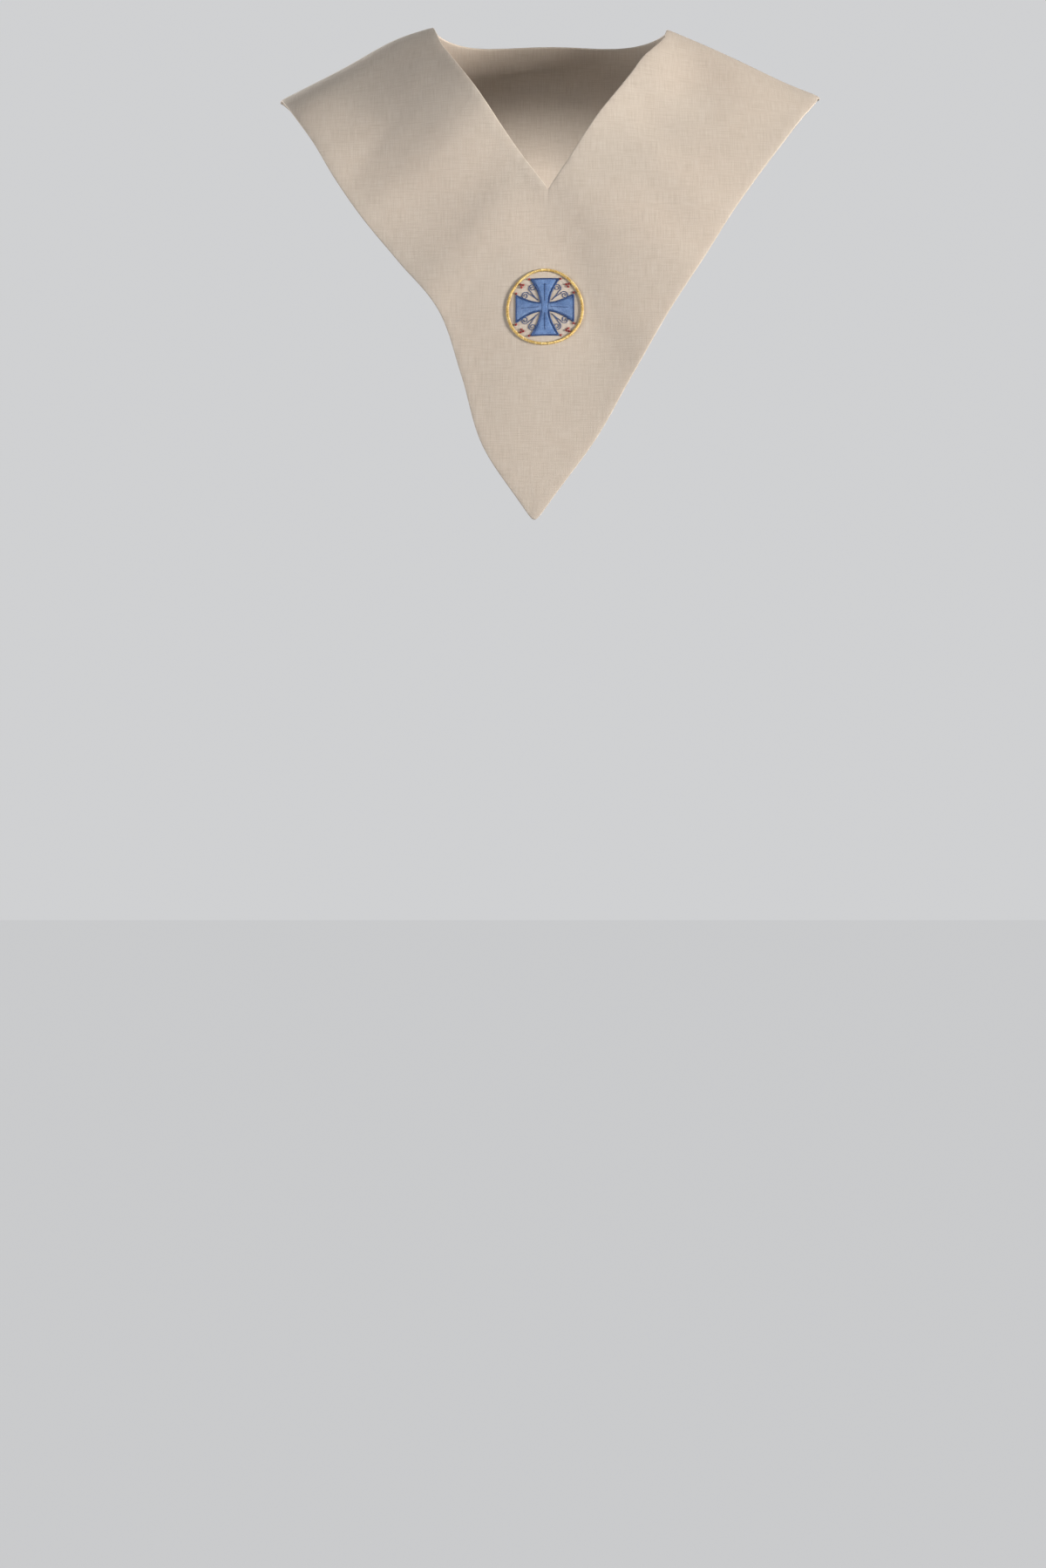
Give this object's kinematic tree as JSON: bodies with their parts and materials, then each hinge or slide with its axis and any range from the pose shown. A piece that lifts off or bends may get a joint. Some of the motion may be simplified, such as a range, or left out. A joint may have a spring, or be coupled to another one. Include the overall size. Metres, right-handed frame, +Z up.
{
  "type": "lector scapular",
  "caption": "Pointed linen yoke worn over the shoulders, with a V neckline, a deep front point and an embroidered emblem.",
  "frame": {"origin": "midway between the two places where the neckline crosses the top of the shoulders", "axes": "+X to the viewer's right along the shoulders, -Y the way the front faces, +Z up"},
  "size_m": [0.434, 0.2433, 0.4034],
  "materials": {
    "linen": "matt plain weave linen, natural beige, slubby",
    "blue_thread": "satin stitched embroidery thread with a soft gloss",
    "gold_thread": "twisted metallic gold thread, couched",
    "dark_blue_thread": "satin stitched embroidery thread with a soft gloss",
    "red_thread": "knotted embroidery thread with a soft gloss"
  },
  "bodies": {
    "root": {"front_panel": "linen", "back_panel": "linen", "emblem_cross": "blue_thread", "emblem_ring": "gold_thread"}
  },
  "joints": []
}
